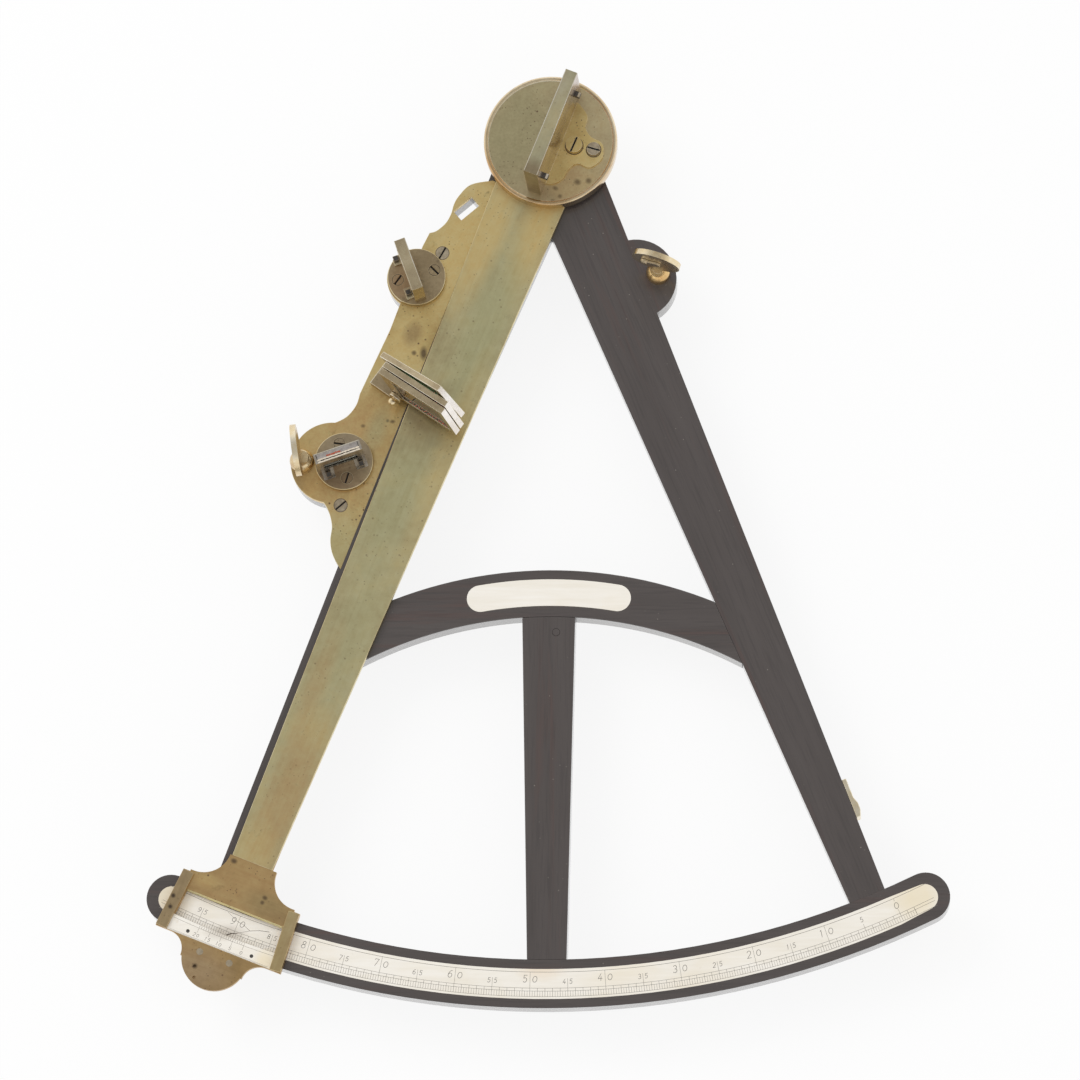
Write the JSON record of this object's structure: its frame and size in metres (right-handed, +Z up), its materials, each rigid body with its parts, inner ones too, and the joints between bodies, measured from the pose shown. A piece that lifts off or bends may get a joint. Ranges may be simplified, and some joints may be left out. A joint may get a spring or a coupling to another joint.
{
  "type": "octant",
  "caption": "Wooden-framed octant with a brass index arm, vernier and index mirror, fore and back horizon glasses, hinged shades and peep sights, lying on its feet.",
  "frame": {"origin": "on the surface that the feet stand on, under the middle of the bounding box", "axes": "+Z up out of the instrument's face, +Y from the limb towards the pivot, +X towards the scale's zero end"},
  "size_m": [0.3526, 0.4196, 0.0771],
  "materials": {
    "ebony": "polished dark wood",
    "bone": "satin, engraved and inked",
    "yellow_brass": "worn lacquer",
    "arm_brass": "brushed along the arm, stained",
    "end_brass": "worn, warm brown",
    "brown_brass": "dark patina",
    "steel": "old screws, turned",
    "mirror_glass": "silvered glass",
    "horizon_glass": "half silvered glass",
    "green_glass": "coloured glass",
    "red_glass": "coloured glass"
  },
  "bodies": {
    "frame": {"left_leg": "ebony", "right_leg": "ebony", "arc_limb": "ebony", "curved_brace": "ebony", "centre_strut": "ebony", "strut_peg": "ebony", "degree_scale": "bone", "name_plate": "bone", "horizon_plate": "yellow_brass", "plate_screws": "steel", "pivot_bush": "arm_brass", "back_plate": "yellow_brass", "back_plate_screws": "steel", "frame_feet": "yellow_brass", "edge_clip": "yellow_brass", "fore_sight_foot": "yellow_brass", "back_sight_foot": "yellow_brass"},
    "index": {"index_arm": "arm_brass", "index_disc": "arm_brass", "end_plate": "end_brass", "end_rails": "arm_brass", "vernier_scale": "bone", "vernier_pins": "steel", "mirror_frame": "arm_brass", "index_mirror": "mirror_glass", "mirror_screws": "steel", "mirror_adjusters": "steel", "pivot_shaft": "steel", "pivot_washer": "yellow_brass", "pivot_screw": "steel", "clamp_bracket": "yellow_brass", "clamp_bracket_screws": "steel", "clamp_spring": "steel"},
    "clamp": {"clamp_screw": "yellow_brass"},
    "fore_horizon": {"fore_glass_base": "brown_brass", "fore_glass_holder": "brown_brass", "fore_glass": "horizon_glass", "fore_glass_screws": "steel", "fore_lever": "yellow_brass", "fore_lever_screw": "steel"},
    "fore_lock": {"fore_lock_screw": "yellow_brass"},
    "back_horizon": {"back_glass_base": "brown_brass", "back_glass_holder": "brown_brass", "back_glass": "horizon_glass", "back_glass_screws": "steel", "back_lever": "yellow_brass", "back_lever_screw": "steel"},
    "back_lock": {"back_lock_screw": "yellow_brass"},
    "shade_unit": {"shade_block": "brown_brass", "shade_pin": "brown_brass"},
    "shade_one": {"shade_frame_1": "brown_brass", "shade_glass_1": "green_glass"},
    "shade_two": {"shade_frame_2": "brown_brass", "shade_glass_2": "red_glass"},
    "shade_three": {"shade_frame_3": "brown_brass", "shade_glass_3": "red_glass"},
    "fore_sight": {"fore_sight_vane": "yellow_brass"},
    "sight_shutter": {"fore_sight_shutter": "steel"},
    "back_sight": {"back_sight_vane": "yellow_brass"}
  },
  "joints": [
    {"name": "index_arm_swing", "type": "hinge", "parent": "frame", "child": "index", "pos_m": [0, 0.17995, 0.03245], "axis": [0, 0, 1], "range_deg": [-0.8, 44.4]},
    {"name": "clamp_turn", "type": "hinge", "parent": "index", "child": "clamp", "pos_m": [-0.13957, -0.17252, 0.005], "axis": [0, 0, 1], "range_deg": [-180, 180]},
    {"name": "fore_glass_trim", "type": "hinge", "parent": "frame", "child": "fore_horizon", "pos_m": [-0.05988, 0.11926, 0.032], "axis": [0, 0, 1], "range_deg": [-5, 5]},
    {"name": "fore_lock_turn", "type": "hinge", "parent": "frame", "child": "fore_lock", "pos_m": [-0.05495, 0.08967, 0.015], "axis": [0, 0, 1], "range_deg": [-180, 180]},
    {"name": "back_glass_trim", "type": "hinge", "parent": "frame", "child": "back_horizon", "pos_m": [-0.09142, 0.03492, 0.032], "axis": [0, 0, 1], "range_deg": [-5, 5]},
    {"name": "back_lock_turn", "type": "hinge", "parent": "frame", "child": "back_lock", "pos_m": [-0.08649, 0.00532, 0.015], "axis": [0, 0, 1], "range_deg": [-180, 180]},
    {"name": "shade_unit_lift", "type": "slide", "parent": "frame", "child": "shade_unit", "axis": [0, 0, 1], "range_m": [0, 0.03]},
    {"name": "shade_one_swing", "type": "hinge", "parent": "shade_unit", "child": "shade_one", "pos_m": [-0.06488, 0.06725, 0.041], "axis": [-0.585, -0.8111, 0], "range_deg": [-23.5, 68.5]},
    {"name": "shade_two_swing", "type": "hinge", "parent": "shade_unit", "child": "shade_two", "pos_m": [-0.06488, 0.06725, 0.041], "axis": [-0.585, -0.8111, 0], "range_deg": [-13.5, 78.5]},
    {"name": "shade_three_swing", "type": "hinge", "parent": "shade_unit", "child": "shade_three", "pos_m": [-0.06488, 0.06725, 0.041], "axis": [-0.585, -0.8111, 0], "range_deg": [-12.5, 79.5]},
    {"name": "fore_sight_swivel", "type": "hinge", "parent": "frame", "child": "fore_sight", "pos_m": [0.04815, 0.12071, 0.032], "axis": [0, 0, 1], "range_deg": [-90, 90]},
    {"name": "sight_shutter_swing", "type": "hinge", "parent": "fore_sight", "child": "sight_shutter", "pos_m": [0.04267, 0.11998, 0.055], "axis": [0.3024, 0.9532, 0], "range_deg": [-60, 60]},
    {"name": "back_sight_swivel", "type": "hinge", "parent": "frame", "child": "back_sight", "pos_m": [-0.11034, 0.03556, 0.032], "axis": [0, 0, 1], "range_deg": [-90, 35]}
  ]
}
